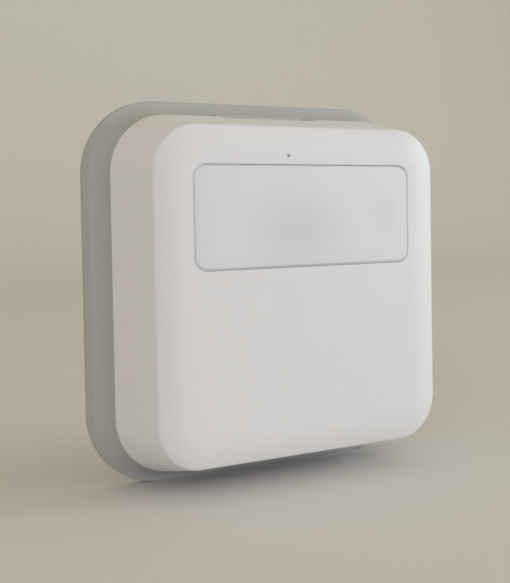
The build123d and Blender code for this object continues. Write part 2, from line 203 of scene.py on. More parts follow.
# Release button and its notch, slot and guide
NOTCH_HALF = 11.0
NOTCH_HIGH = 9.6
NOTCH_RADIUS = 0.9
NOTCH_STEPS = 8
NOTCH_ZS = (29.0, 37.0)
BUTTON_SLOT_HALF = 10.2
BUTTON_SLOT_TOP = 34.4
BUTTON_HALF = BUTTON_HIGH.x
BUTTON_TOP = BUTTON_HIGH.z
BUTTON_BOTTOM = BUTTON_LOW.z
NOSE_FRONT = -BUTTON_LOW.y
BUTTON_BACK = -BUTTON_HIGH.y
BUTTON_FRONT = 4.6
BUTTON_THICK = 1.4
BUTTON_EDGE = 0.18
SLIDER_HALF = 8.0
SLIDER_FRONT = 3.0
NOSE_HALF = 3.0
NOSE_ZS = (24.4, 26.2)
RAIL_HIGH = 3.9
RAIL_GAP = 0.2
RAIL_REACH = 1.4
RAIL_ZS = (22.0, 30.0)
LIP_LOW = 3.2
LIP_OVERLAP = 0.4
GUIDE_EDGE = 0.12
SPRING_SEAT_Z = 18.2
SPRING_SEAT_HALF = 2.0
SPRING_SEAT_THICK = 1.4
SPRING_SEAT_HIGH = 4.0
SPRING_DEPTH = 3.05

# Springs, as first and last radius of the coil, its turns and the wire's radius
RELEASE_COIL = (0.85, 0.85, 7.0, 0.16)
TAMPER_COIL = (1.2, 1.2, 2.6, 0.09)
CELL_COIL = (2.85, 1.9, 4.4, 0.3)
CLOSED_TURNS = 0.8
CLOSED_RISE = 0.9

# Cells: the can's rounded and stepped ends, its nub and its jacket
CAN_ROUND = 0.5
CAN_STEP = 0.15
DISH_RADII = (3.2, 3.5)
NUB_LENGTH = 1.0
NUB_RADIUS = 1.9
NUB_ROUND = 0.4
SEAL_SUNK = 0.12
JACKET_START = 22.0
JACKET_END = 23.0
JACKET_THICK = 0.18
JACKET_ROUND = (0.15, 0.14)

# How CAD nodes that stay in view are dressed: rounding in millimetres, angles in degrees
CAD_EDGES = {
    "rear_cover": 0.2,
    "lens_frame": 0.2,
    "pairing_button": 0.2,
    "radio_shield": 0.2,
    "pir_collar": 0.25,
}
CAD_EDGE = 0.08
CAD_WELD = 0.001
CAD_FLAT_ANGLE = 1
CAD_SPLIT_ANGLE = 32

# Mesh fineness, and the sharpness from which edges are rounded or kept sharp, in degrees
ROD_STEPS = 32
SMALL_STEPS = 24
HOLE_STEPS = 48
POST_STEPS = 40
CELL_STEPS = 64
WIRE_STEPS = 10
COIL_STEPS = 28
BEVEL_ANGLE = 35
SHARP_ANGLE = 30

# A face whose normal is this close to Y is shaded flat
FLAT_NORMAL = 0.99999

# Stage, as the floor's near edge, where its back curve starts, the curve's radius, its height and half width
STAGE_NEAR = -1500.0
STAGE_BACK = 500.0
STAGE_CURVE = 400.0
STAGE_TOP = 1500.0
STAGE_HALF = 2000.0
STAGE_STEPS = 12
STAGE_COLOUR = (0.72, 0.70, 0.67, 1)

# Lamps, as place in millimetres, power in watts and colour
LAMP_SIZE = 0.7
KEY_LAMP = ((900, -500, 150), 6.7, (0.734, 0.85, 1.0))
FILL_LAMP = ((-700, -800, 250), 2.7, (0.62, 0.64, 1.0))
WORLD_COLOUR = (1.0, 0.90, 0.67, 1)
WORLD_STRENGTH = 0.55

# Camera
CAMERA_PLACE = (-105.8, -183.0, 15.1)
CAMERA_YAW = 30.37
CAMERA_PITCH = -2.03
CAMERA_ROLL = -0.99
CAMERA_LENS = 63.4
CAMERA_SHIFT = (-0.0034, -0.0736)


# Mesh tools


def rounded_loop(half_x, half_z, radius, depth, centre_z=0.0):
    """Points round a rectangle with rounded corners, counter-clockwise as seen from the room."""
    points = []
    for corner, (side_x, side_z) in enumerate(((1, 1), (-1, 1), (-1, -1), (1, -1))):
        middle_x = side_x * (half_x - radius)
        middle_z = side_z * (half_z - radius) + centre_z
        for step in range(CORNER_STEPS + 1):
            angle = math.radians(90 * (corner + step / CORNER_STEPS))
            x = middle_x + radius * math.cos(angle)
            z = middle_z + radius * math.sin(angle)
            points.append(Vector((x, -depth, z)) * MM)
    return points


def square_loop(half, depth):
    return rounded_loop(half, half, half - CORNER, depth)


def window_loop(offset, depth):
    """The window's outline, grown outwards by an offset."""
    return rounded_loop(WINDOW_X + offset, WINDOW_HALF_Z + offset, WINDOW_RADIUS + offset, depth, WINDOW_Z)


def soften(points, hold=HOLD):
    """An open profile of (across, depth, fillet radius) points, as (across, depth) with its corners rounded.

    A holding point on each side of a fillet keeps its shading off the flat faces beside it."""
    profile = [points[0][:2]]
    for before, here, after in zip(points, points[1:], points[2:]):
        corner = Vector(here[:2])
        if here[2] == 0:
            profile.append(tuple(corner))
            continue
        back = (Vector(before[:2]) - corner).normalized()
        ahead = (Vector(after[:2]) - corner).normalized()
        half_angle = back.angle(ahead) / 2
        reach = here[2] / math.tan(half_angle)
        centre = corner + (back + ahead).normalized() * (here[2] / math.sin(half_angle))
        start = corner + back * reach
        end = corner + ahead * reach
        profile.append(tuple(start + back * hold))
        for step in range(FILLET_STEPS + 1):
            spoke = (start - centre).normalized().slerp((end - centre).normalized(), step / FILLET_STEPS)
            profile.append(tuple(centre + spoke * here[2]))
        profile.append(tuple(end + ahead * hold))
    profile.append(points[-1][:2])
    return profile


def add_loop(bm, points):
    return [bm.verts.new(p) for p in points]


def join_rings(bm, rings, closed=False):
    """Joins each ring of vertices to the next with quads, and the last to the first if closed."""
    after = rings[1:] + rings[:1] if closed else rings[1:]
    for first, second in zip(rings, after):
        for i in range(len(first)):
            j = (i + 1) % len(first)
            bm.faces.new((first[i], first[j], second[j], second[i]))


def skin(bm, loops):
    """Joins each loop of points to the next with quads. Returns the first and last loops of vertices."""
    made = [add_loop(bm, points) for points in loops]
    join_rings(bm, made)
    return made[0], made[-1]


def fill(bm, *loops):
    """A flat face inside the first loop, with the other loops as holes in it."""
    edges = []
    for loop in loops:
        for i in range(len(loop)):
            edge = bm.edges.get((loop[i - 1], loop[i])) or bm.edges.new((loop[i - 1], loop[i]))
            edges.append(edge)
    bmesh.ops.triangle_fill(bm, use_beauty=True, edges=edges)


def add_rod(bm, radius, low, high, x, z, steps=ROD_STEPS):
    """A closed round rod square to the wall, between two depths."""
    turn = Matrix.Translation(Vector((x, -(low + high) / 2, z)) * MM) @ Matrix.Rotation(math.pi / 2, 4, "X")
    bmesh.ops.create_cone(
        bm,
        cap_ends=True,
        segments=steps,
        radius1=radius * MM,
        radius2=radius * MM,
        depth=(high - low) * MM,
        matrix=turn,
    )


def add_block(bm, low, high):
    """A closed box between two corners in the row frame."""
    middle = (Vector(low) + Vector(high)) / 2 * MM
    size = (Vector(high) - Vector(low)) * MM
    bmesh.ops.create_cube(bm, size=1.0, matrix=Matrix.Translation(middle) @ Matrix.Diagonal(size).to_4x4())


def make_piece(name, bm):
    """A mesh object from a bmesh, with its faces turned outwards."""
    bmesh.ops.recalc_face_normals(bm, faces=bm.faces)
    mesh = bpy.data.meshes.new(name)
    bm.to_mesh(mesh)
    bm.free()
    piece = bpy.data.objects.new(name, mesh)
    bpy.context.scene.collection.objects.link(piece)
    return piece


def smooth(piece, degrees=SHARP_ANGLE):
    """Smooth shading that stops at edges sharper than this."""
    bm = bmesh.new()
    bm.from_mesh(piece.data)
    for face in bm.faces:
        face.smooth = abs(face.normal.y) < FLAT_NORMAL
    for edge in bm.edges:
        edge.smooth = edge.calc_face_angle(0.0) < math.radians(degrees)
    bm.to_mesh(piece.data)
    bm.free()


def apply_modifiers(piece):
    graph = bpy.context.evaluated_depsgraph_get()
    mesh = bpy.data.meshes.new_from_object(piece.evaluated_get(graph))
    piece.modifiers.clear()
    piece.data = mesh


def combine(piece, bm, operation):
    tool = make_piece("tool", bm)
    modifier = piece.modifiers.new("combine", "BOOLEAN")
    modifier.operation = operation
    modifier.solver = "EXACT"
    modifier.object = tool
    apply_modifiers(piece)
    bpy.data.objects.remove(tool)


def cut(piece, bm):
    """Takes a closed bmesh out of a piece."""
    combine(piece, bm, "DIFFERENCE")


def add(piece, bm):
    """Joins a closed bmesh to a piece."""
    combine(piece, bm, "UNION")


def round_edges(piece, width, segments=2):
    """Rounds every edge sharper than BEVEL_ANGLE by a width in millimetres."""
    bevel = piece.modifiers.new("bevel", "BEVEL")
    bevel.width = width * MM
    bevel.segments = segments
    bevel.limit_method = "ANGLE"
    bevel.angle_limit = math.radians(BEVEL_ANGLE)
    bevel.use_clamp_overlap = True


def circle(steps):
    """The cosine and sine of evenly spread angles."""
    angles = [2 * math.pi * step / steps for step in range(steps)]
    return [(math.cos(angle), math.sin(angle)) for angle in angles]


def add_tube(bm, outer, inner, low, high, x, z):
    """A closed tube square to the wall."""
    rings = []
    for radius, depth in ((outer, low), (outer, high), (inner, high), (inner, low)):
        ring = [Vector((x + radius * c, -depth, z + radius * s)) * MM for c, s in circle(ROD_STEPS)]
        rings.append(add_loop(bm, ring))
    join_rings(bm, rings, closed=True)


def turned_rings(bm, profile, axis_y, axis_z):
    """Rings of vertices about a line along X, one for each (x, radius) point."""
    rings = []
    for x, radius in profile:
        ring = [Vector((x, axis_y + radius * c, axis_z + radius * s)) * MM for c, s in circle(CELL_STEPS)]
        rings.append(add_loop(bm, ring))
    return rings


def add_turned(bm, profile, axis_y, axis_z):
    """A closed turned solid about a line along X, from (x, radius) points that start and end on the line."""
    rings = turned_rings(bm, profile[1:-1], axis_y, axis_z)
    join_rings(bm, rings)
    for ring, (x, _) in ((rings[0], profile[0]), (rings[-1], profile[-1])):
        tip = bm.verts.new(Vector((x, axis_y, axis_z)) * MM)
        for i in range(len(ring)):
            bm.faces.new((ring[i - 1], ring[i], tip))


def add_wire(bm, points, radius):
    """A closed round wire along a list of points in millimetres."""
    rings = []
    side = None
    for i, point in enumerate(points):
        ahead = (points[min(i + 1, len(points) - 1)] - points[max(i - 1, 0)]).normalized()
        side = ahead.orthogonal() if side is None else side - ahead * side.dot(ahead)
        side.normalize()
        other = ahead.cross(side)
        ring = [(point + radius * (c * side + s * other)) * MM for c, s in circle(WIRE_STEPS)]
        rings.append(add_loop(bm, ring))
    join_rings(bm, rings)
    bm.faces.new(rings[0])
    bm.faces.new(rings[-1])


def coil_points(start, end, first_radius, last_radius, turns, wire):
    """A spring's centre line up its own Z, with nearly a closed turn at each end and open turns between."""
    points = []
    steps = int(turns * COIL_STEPS)
    low = start + wire
    rise = end - start - 2 * wire
    for step in range(steps + 1):
        turn = turns * step / steps
        travel = min(max((turn - CLOSED_TURNS) / (turns - 2 * CLOSED_TURNS), 0.0), 1.0)
        closed_part = min(turn, CLOSED_TURNS) + max(turn - turns + CLOSED_TURNS, 0.0)
        closed = CLOSED_RISE * wire * closed_part / CLOSED_TURNS
        height = low + closed + travel * (rise - 2 * CLOSED_RISE * wire)
        radius = first_radius + (last_radius - first_radius) * step / steps
        angle = 2 * math.pi * turn
        points.append(Vector((radius * math.cos(angle), radius * math.sin(angle), height)))
    return points


def finish_piece(piece, body, slot, material, *nodes):
    """Gives a piece its shading, material and body, and hides the CAD nodes that it takes the place of. The
    slot is not used.
    """
    smooth(piece)
    piece.data.materials.clear()
    piece.data.materials.append(material)
    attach(piece, body)
    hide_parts(*nodes)


# Materials


def new_material(name):
    material = bpy.data.materials.new(name)
    material.use_nodes = True
    nodes = material.node_tree.nodes
    return material, nodes, material.node_tree.links, nodes["Principled BSDF"]


def place(nodes):
    """Object coordinates, in metres."""
    return nodes.new("ShaderNodeTexCoord").outputs["Object"]


def noise(nodes, links, scale, detail=2.0):
    """Noise with this many features to a metre."""
    texture = nodes.new("ShaderNodeTexNoise")
    texture.inputs["Scale"].default_value = scale
    texture.inputs["Detail"].default_value = detail
    links.new(place(nodes), texture.inputs["Vector"])
    return texture.outputs["Fac"]


def ramp(nodes, links, value, stops):
    """A value turned into a colour by (position, colour) stops."""
    node = nodes.new("ShaderNodeValToRGB")
    node.color_ramp.elements[0].position = stops[0][0]
    node.color_ramp.elements[0].color = (*stops[0][1], 1)
    node.color_ramp.elements[1].position = stops[-1][0]
    node.color_ramp.elements[1].color = (*stops[-1][1], 1)
    for position, colour in stops[1:-1]:
        node.color_ramp.elements.new(position).color = (*colour, 1)
    links.new(value, node.inputs["Fac"])
    return node.outputs["Color"]


def between(nodes, links, value, low, high):
    """Two greys or colours with a soft change from one to the other across a noise's middle."""
    return ramp(nodes, links, value, [(0.3, low), (0.7, high)])


def bump(nodes, links, height, distance, shader):
    node = nodes.new("ShaderNodeBump")
    node.inputs["Distance"].default_value = distance
    links.new(height, node.inputs["Height"])
    links.new(node.outputs["Normal"], shader.inputs["Normal"])


def moulded_plastic(name, colour, roughness, shade=0.03):
    """Moulded plastic: a fine spark-eroded grain, faint flow marks in the colour and in the gloss."""
    material, nodes, links, shader = new_material(name)
    dark = tuple(c * (1 - shade) for c in colour)
    light = tuple(min(1.0, c * (1 + shade)) for c in colour)
    flow = noise(nodes, links, 60.0, 3.0)
    links.new(between(nodes, links, flow, dark, light), shader.inputs["Base Color"])
    gloss = noise(nodes, links, 400.0, 4.0)
    low, high = (roughness - 0.05,) * 3, (roughness + 0.05,) * 3
    links.new(between(nodes, links, gloss, low, high), shader.inputs["Roughness"])
    bump(nodes, links, noise(nodes, links, GRAIN, 2.0), GRAIN_DEPTH, shader)
    return material


def soft_spot(nodes, links, middle, half, amount):
    """A value that is highest in the middle of an oval and fades out to nothing at its edge."""
    shift = nodes.new("ShaderNodeVectorMath")
    shift.operation = "SUBTRACT"
    links.new(place(nodes), shift.inputs[0])
    shift.inputs[1].default_value = Vector((middle[0], 0, middle[1])) * MM
    scale = nodes.new("ShaderNodeVectorMath")
    scale.operation = "MULTIPLY"
    links.new(shift.outputs["Vector"], scale.inputs[0])
    scale.inputs[1].default_value = (1 / (half[0] * MM), 0, 1 / (half[1] * MM))
    size = nodes.new("ShaderNodeVectorMath")
    size.operation = "LENGTH"
    links.new(scale.outputs["Vector"], size.inputs[0])
    fade = nodes.new("ShaderNodeMapRange")
    fade.interpolation_type = "SMOOTHSTEP"
    fade.inputs["To Min"].default_value = amount
    fade.inputs["To Max"].default_value = 0.0
    links.new(size.outputs["Value"], fade.inputs["Value"])
    return fade.outputs["Result"]


def lens_material():
    """Milky polyethylene, with painted shade: soft dark patches standing in for the shadows of the parts
    close behind it.
    """
    material, nodes, links, shader = new_material("milky_lens")
    shader.inputs["Roughness"].default_value = 0.32
    # The soft spots are summed into painted shade that darkens the lens colour
    painted_shade = None
    for middle, half, amount in LENS_PAINTED_SHADE:
        spot = soft_spot(nodes, links, middle, half, amount)
        if painted_shade is None:
            painted_shade = spot
            continue
        both = nodes.new("ShaderNodeMath")
        links.new(painted_shade, both.inputs[0])
        links.new(spot, both.inputs[1])
        painted_shade = both.outputs["Value"]
    painted_shade_ramp = [(0.0, LENS_COLOUR), (1.0, (0.0, 0.0, 0.0))]
    links.new(ramp(nodes, links, painted_shade, painted_shade_ramp), shader.inputs["Base Color"])
    bump(nodes, links, noise(nodes, links, LENS_GRAIN, 2.0), LENS_GRAIN_DEPTH, shader)
    return material


def jacket_material(side):
    """A shrunk plastic jacket: near black with a copper-coloured band at the nub's end."""
    material, nodes, links, shader = new_material("cell_jacket_" + ("right" if side > 0 else "left"))
    split = nodes.new("ShaderNodeSeparateXYZ")
    links.new(place(nodes), split.inputs["Vector"])
    along = nodes.new("ShaderNodeMapRange")
    along.inputs["From Min"].default_value = -side * JACKET_START * MM
    along.inputs["From Max"].default_value = side * JACKET_END * MM
    links.new(split.outputs["X"], along.inputs["Value"])
    black, copper, pale = (0.022, 0.024, 0.028), (0.48, 0.20, 0.09), (0.42, 0.42, 0.43)
    stops = [(0.0, black), (0.70, black), (0.705, pale), (0.72, pale), (0.725, copper), (1.0, copper)]
    links.new(ramp(nodes, links, along.outputs["Result"], stops), shader.inputs["Base Color"])
    gloss = noise(nodes, links, 500.0, 3.0)
    links.new(between(nodes, links, gloss, (0.2,) * 3, (0.3,) * 3), shader.inputs["Roughness"])
    shader.inputs["Coat Weight"].default_value = 0.4
    return material


def metal(name, colour, roughness):
    """Plated or drawn metal with soft worn patches and fine scuffs in its gloss."""
    material, nodes, links, shader = new_material(name)
    shader.inputs["Metallic"].default_value = 1.0
    dark = tuple(c * 0.9 for c in colour)
    worn = noise(nodes, links, 700.0, 4.0)
    links.new(between(nodes, links, worn, dark, colour), shader.inputs["Base Color"])
    low, high = (roughness - 0.08,) * 3, (roughness + 0.08,) * 3
    scuffs = noise(nodes, links, 3000.0, 3.0)
    links.new(between(nodes, links, scuffs, low, high), shader.inputs["Roughness"])
    return material


WHITE = moulded_plastic("white_moulding", (0.80, 0.795, 0.785), 0.5, shade=0.008)
GREY = moulded_plastic("grey_moulding", (0.45, 0.452, 0.417), 0.5, shade=0.012)
# Painted light: the button is the plate's grey plastic, made lighter and warmer here to stand in for the
# light that its strip catches
BUTTON_PAINTED_LIGHTER = moulded_plastic("button_grey_painted_lighter", (0.54, 0.515, 0.495), 0.45, shade=0.012)
CHASSIS = moulded_plastic("chassis_moulding", (0.72, 0.71, 0.69), 0.55)
BLACK = moulded_plastic("black_moulding", (0.02, 0.02, 0.021), 0.5)
CLEAR = moulded_plastic("clear_moulding", (0.75, 0.78, 0.80), 0.15, shade=0.01)
RUBBER = moulded_plastic("black_rubber", (0.025, 0.025, 0.027), 0.8)
EPOXY = moulded_plastic("chip_epoxy", (0.02, 0.02, 0.022), 0.6)
GREEN = moulded_plastic("solder_mask", (0.01, 0.11, 0.045), 0.3)
JACKETS = {side: jacket_material(side) for side in (-1, 1)}
PIPE = moulded_plastic("smoky_pipe", (0.66, 0.66, 0.67), 0.2)
LENS = lens_material()
NICKEL = metal("nickel_plate", (0.66, 0.64, 0.60), 0.3)
ALUMINIUM = metal("drawn_aluminium", (0.78, 0.78, 0.79), 0.35)

NODE_MATERIALS = {"light_pipe": PIPE}

SLOT_MATERIALS = {
    "white_plastic": CHASSIS,
    "grey_plastic": GREY,
    "lens_plastic": LENS,
    "black_plastic": BLACK,
    "clear_plastic": CLEAR,
    "button_plastic": CHASSIS,
    "board_green": GREEN,
    "nickel": NICKEL,
    "aluminium": ALUMINIUM,
    "filter_glass": BLACK,
    "rubber": RUBBER,
    "chip_epoxy": EPOXY,
    "battery_jacket": JACKETS[1],
}


def dress_cad_nodes():
    """Gives every CAD node that stays in view its material and soft moulded edges."""
    for part in frame["record"]["subparts"]:
        node = frame["nodes"][part["node"]]
        node.data.materials.clear()
        node.data.materials.append(NODE_MATERIALS.get(part["node"]) or SLOT_MATERIALS[part["material_slot"]])
        for face in node.data.polygons:
            face.use_smooth = True
        weld = node.modifiers.new("weld", "WELD")
        weld.merge_threshold = CAD_WELD * MM
        planar = node.modifiers.new("planar", "DECIMATE")
        planar.decimate_type = "DISSOLVE"
        planar.angle_limit = math.radians(CAD_FLAT_ANGLE)
        round_edges(node, CAD_EDGES.get(part["node"], CAD_EDGE))
        split = node.modifiers.new("split", "EDGE_SPLIT")
        split.split_angle = math.radians(CAD_SPLIT_ANGLE)


# The sensor body's outside


def crown_profile():
    """From the side wall over the tight front edge and up the soft shoulder to the flat front."""
    run = FRONT_HALF - CROWN_HALF
    rise = CROWN_DEPTH - FRONT_DEPTH
    radius = (run * run + rise * rise) / (2 * rise)
    points = []
    for step in range(1, CROWN_STEPS + 1):
        across = run * (1 - step / CROWN_STEPS)
        drop = radius - math.sqrt(radius * radius - across * across)
        points.append((CROWN_HALF + across, CROWN_DEPTH - drop, 0))
    return points


def front_cover():
    """A hollow flared shell, open at the back, with the window cut in its front."""
    bm = bmesh.new()
    rear_inner = REAR_HALF - WALL
    front_inner = FRONT_HALF - WALL
    points = [
        (front_inner - 1.0, FRONT_WALL_DEPTH, 0),
        (front_inner, FRONT_WALL_DEPTH, INNER_EDGE),
        (rear_inner, REAR_DEPTH, REAR_EDGE),
        (REAR_HALF, REAR_DEPTH, REAR_EDGE),
        (FRONT_HALF, FRONT_DEPTH, FRONT_EDGE),
        *crown_profile(),
        (CROWN_HALF - 0.3, CROWN_DEPTH, 0),
    ]
    loops = [square_loop(half, depth) for half, depth in soften(points)]
    inner, outer = skin(bm, loops)
    points = [
        (WINDOW_EDGE + 2 * HOLD, CROWN_DEPTH, 0),
        (0.0, CROWN_DEPTH, WINDOW_EDGE),
        (0.0, FRONT_WALL_DEPTH, 0),
    ]
    window = [window_loop(offset, depth) for offset, depth in soften(points)]
    window_front, window_back = skin(bm, window)
    fill(bm, outer, window_front)
    fill(bm, inner, window_back)
    cover = make_piece("front_cover_skin", bm)
    add(cover, cover_posts())
    cut(cover, cover_holes())
    cut(cover, notch_tool())
    finish_piece(cover, "sensor_body", "white_plastic", WHITE, "front_cover")


def cover_posts():
    """The screw posts, the lens frame's pegs and the light pipe's sleeve inside the front."""
    bm = bmesh.new()
    for x in (-POST, POST):
        add_rod(bm, POST_RADIUS, POST_LOW, ROOT_DEPTH, x, POST)
    for x in (-PEG_X, PEG_X):
        for z in PEG_ZS:
            add_rod(bm, PEG_RADIUS, PEG_LOW, ROOT_DEPTH, x, z, SMALL_STEPS)
    add_rod(bm, SLEEVE_RADIUS, SLEEVE_LOW, ROOT_DEPTH, LED_X, LED_Z)
    return bm


def cover_holes():
    """The posts' screw holes, the light pipe's bore and pin-hole, and the pockets for the hooks."""
    bm = bmesh.new()
    for x in (-POST, POST):
        add_rod(bm, SCREW_RADIUS, SCREW_LOW, SCREW_HIGH, x, POST, SMALL_STEPS)
    add_rod(bm, PIPE_BORE, PIPE_BORE_LOW, PIPE_BORE_HIGH, LED_X, LED_Z)
    add_rod(bm, LED_BORE, PIPE_BORE_HIGH - 0.1, LED_SKIN_DEPTH, LED_X, LED_Z, SMALL_STEPS)
    add_rod(bm, LED_HOLE, LED_SKIN_DEPTH - 0.05, CROWN_DEPTH + 1.0, LED_X, LED_Z, SMALL_STEPS)
    for x in (-HOOK_X, HOOK_X):
        middle = Vector((x, -HOOK_POCKET_DEPTH, HOOK_POCKET_Z))
        add_block(bm, middle - HOOK_POCKET, middle + HOOK_POCKET)
    return bm


def notch_tool():
    """The notch in the body's top rear edge that gives a finger room to reach the release button."""
    bm = bmesh.new()
    reach = NOTCH_HALF - NOTCH_RADIUS
    centre = NOTCH_HIGH - NOTCH_RADIUS
    outline = [(-NOTCH_HALF, REAR_DEPTH - 1.0), (NOTCH_HALF, REAR_DEPTH - 1.0)]
    for side, start in ((1, 0), (-1, 90)):
        for step in range(NOTCH_STEPS + 1):
            angle = math.radians(start + 90 * step / NOTCH_STEPS)
            x = side * reach + NOTCH_RADIUS * math.cos(angle)
            outline.append((x, centre + NOTCH_RADIUS * math.sin(angle)))
    first, last = skin(bm, [[Vector((x, -depth, z)) * MM for x, depth in outline] for z in NOTCH_ZS])
    bm.faces.new(first)
    bm.faces.new(last)
    return bm


def lens_loop(offset, depth):
    """A loop of the lens. The groove round its face is shallower at the two ends, by a share END_RISE."""
    loop = window_loop(offset, depth)
    sunk = CROWN_DEPTH - depth
    if sunk > SHOULDER_DROP + 0.01:
        return loop
    for point in loop:
        across = (abs(point.x) / MM - WINDOW_X + WINDOW_RADIUS) / WINDOW_RADIUS
        point.y -= END_RISE * sunk * MM * min(max(across, 0), 1)
    return loop


def lens():
    """A thin milky window with a flange behind the cover's front wall and lenses moulded in its back."""
    bm = bmesh.new()
    edge = -GROOVE
    flange_front = FRONT_WALL_DEPTH - FLANGE_GAP
    flange_back = flange_front - FLANGE_THICK
    inside = CROWN_DEPTH - LENS_SKIN
    points = [
        (edge - LENS_EDGE - 2 * HOLD, CROWN_DEPTH, 0),
        (edge, CROWN_DEPTH, LENS_EDGE),
        (edge, CROWN_DEPTH - SHOULDER_DROP, 0),
        (edge + SHOULDER, CROWN_DEPTH - SHOULDER_DROP, 0),
        (edge + SHOULDER, flange_front, 0),
        (FLANGE_REACH, flange_front, FLANGE_EDGE),
        (FLANGE_REACH, flange_back, FLANGE_EDGE),
        (edge - LENS_RIM, flange_back, 0),
        (edge - LENS_RIM, inside, INSIDE_EDGE),
        (edge - 2 * LENS_RIM, inside, 0),
    ]
    loops = [lens_loop(offset, depth) for offset, depth in soften(points, LENS_HOLD)]
    front, back = skin(bm, loops)
    fill(bm, front)
    fill(bm, back)
    piece = make_piece("pir_lens_skin", bm)
    cut(piece, lens_rings(inside))
    finish_piece(piece, "sensor_body", "lens_plastic", LENS, "pir_lens")


def lens_rings(inside):
    """The ring grooves of the ten small lenses moulded into the back of the window."""
    bm = bmesh.new()
    for column in range(-2, 3):
        for row in (-1, 1):
            x = RING_PITCH_X * column
            z = WINDOW_Z + RING_Z * row
            for inner in RING_RADII:
                add_tube(bm, inner + RING_WIDTH, inner, inside - 0.1, inside + RING_DEPTH, x, z)
    return bm


# The wall plate and its button


def cove_profile():
    """The plate's hollow flank: a quarter of an ellipse from the rim in to the lip."""
    run = PLATE_HALF - LIP_HALF
    rise = PLATE_DEPTH - RIM_DEPTH
    points = []
    for step in range(COVE_FIRST, COVE_STEPS):
        angle = math.radians(90 * step / COVE_STEPS)
        points.append((PLATE_HALF - run * math.sin(angle), PLATE_DEPTH - rise * math.cos(angle), 0))
    return points


def wall_plate():
    """From the flat back round the groove, the rim, the flank and the lip to the tray's floor."""
    bm = bmesh.new()
    points = [
        (TRAY_WALL_HALF - 1.0, 0.0, 0),
        (TRAY_WALL_HALF, 0.0, LIP_EDGE),
        (TRAY_WALL_HALF, GROOVE_DEPTH, LIP_EDGE),
        (GROOVE_INNER_HALF, GROOVE_DEPTH, GROOVE_EDGE),
        (GROOVE_OUTER_HALF, 0.0, LIP_EDGE),
        (PLATE_HALF, 0.0, RIM_EDGE),
        (PLATE_HALF, RIM_DEPTH, RIM_EDGE),
        *cove_profile(),
        (LIP_HALF, PLATE_DEPTH, LIP_EDGE),
        (TRAY_HALF, PLATE_DEPTH, RIM_EDGE),
        (TRAY_HALF, FLOOR_DEPTH, FLOOR_EDGE),
        (TRAY_HALF - 1.0, FLOOR_DEPTH, 0),
    ]
    loops = [square_loop(half, depth) for half, depth in soften(points)]
    back, front = skin(bm, loops)
    fill(bm, back)
    fill(bm, front)
    plate = make_piece("wall_plate_skin", bm)
    add(plate, groove_bridge())
    cut(plate, plate_holes())
    add(plate, tray_details())
    finish_piece(plate, "wall_plate", "grey_plastic", GREY, "wall_plate")


def groove_bridge():
    """Fills the back's groove behind the button's slot."""
    bm = bmesh.new()
    low = (-BRIDGE_HALF, -GROOVE_DEPTH - 0.1, TRAY_WALL_HALF - 0.3)
    high = (BRIDGE_HALF, 0.0, GROOVE_OUTER_HALF - 0.2)
    add_block(bm, low, high)
    return bm


def plate_holes():
    """The two wall screws' holes and the button's slot."""
    bm = bmesh.new()
    for x in (-WALL_SCREW_X, WALL_SCREW_X):
        add_rod(bm, WALL_SCREW_RADIUS, -1.0, FLOOR_DEPTH + 1.0, x, 0.0, HOLE_STEPS)
    low = (-BUTTON_SLOT_HALF, -PLATE_DEPTH - 1.0, TRAY_HALF - 0.5)
    high = (BUTTON_SLOT_HALF, -FLOOR_DEPTH, BUTTON_SLOT_TOP)
    add_block(bm, low, high)
    return bm


def span(side, inner, outer):
    """The lowest and highest X between two distances from the middle, on one side of it."""
    return sorted((side * inner, side * outer))


def tray_details():
    """The button's rails and spring seat, four feet, the tamper post and two lugs, rooted in the floor."""
    bm = bmesh.new()
    low_z, high_z = RAIL_ZS
    for side in (-1, 1):
        low_x, high_x = span(side, SLIDER_HALF + RAIL_GAP, SLIDER_HALF + RAIL_REACH)
        add_block(bm, (low_x, -RAIL_HIGH, low_z), (high_x, -TRAY_ROOT, high_z))
        for foot_z in (FOOT_Z, -FOOT_Z):
            add_rod(bm, FOOT_RADIUS, TRAY_ROOT, FOOT_HIGH, side * FOOT_X, foot_z)
        low_x, high_x = side * LUG_X - LUG_HALF, side * LUG_X + LUG_HALF
        add_block(bm, (low_x, -LUG_HIGH, LUG_Z - LUG_HALF_Z), (high_x, -TRAY_ROOT, LUG_Z + LUG_HALF_Z))
    low = (-SPRING_SEAT_HALF, -SPRING_SEAT_HIGH, SPRING_SEAT_Z - SPRING_SEAT_THICK)
    add_block(bm, low, (SPRING_SEAT_HALF, -TRAY_ROOT, SPRING_SEAT_Z))
    add_rod(bm, TAMPER_POST_RADIUS, TRAY_ROOT, TAMPER_POST_HIGH, TAMPER_X, TAMPER_Z, POST_STEPS)
    return bm


def guide_lips():
    """The lips that hold the slider down, as a piece of the wall plate."""
    bm = bmesh.new()
    low_z, high_z = RAIL_ZS
    for side in (-1, 1):
        low_x, high_x = span(side, SLIDER_HALF - LIP_OVERLAP, SLIDER_HALF + RAIL_REACH)
        add_block(bm, (low_x, -RAIL_HIGH, low_z), (high_x, -LIP_LOW, high_z))
    lips = make_piece("guide_lips", bm)
    round_edges(lips, GUIDE_EDGE)
    apply_modifiers(lips)
    finish_piece(lips, "wall_plate", "grey_plastic", GREY)


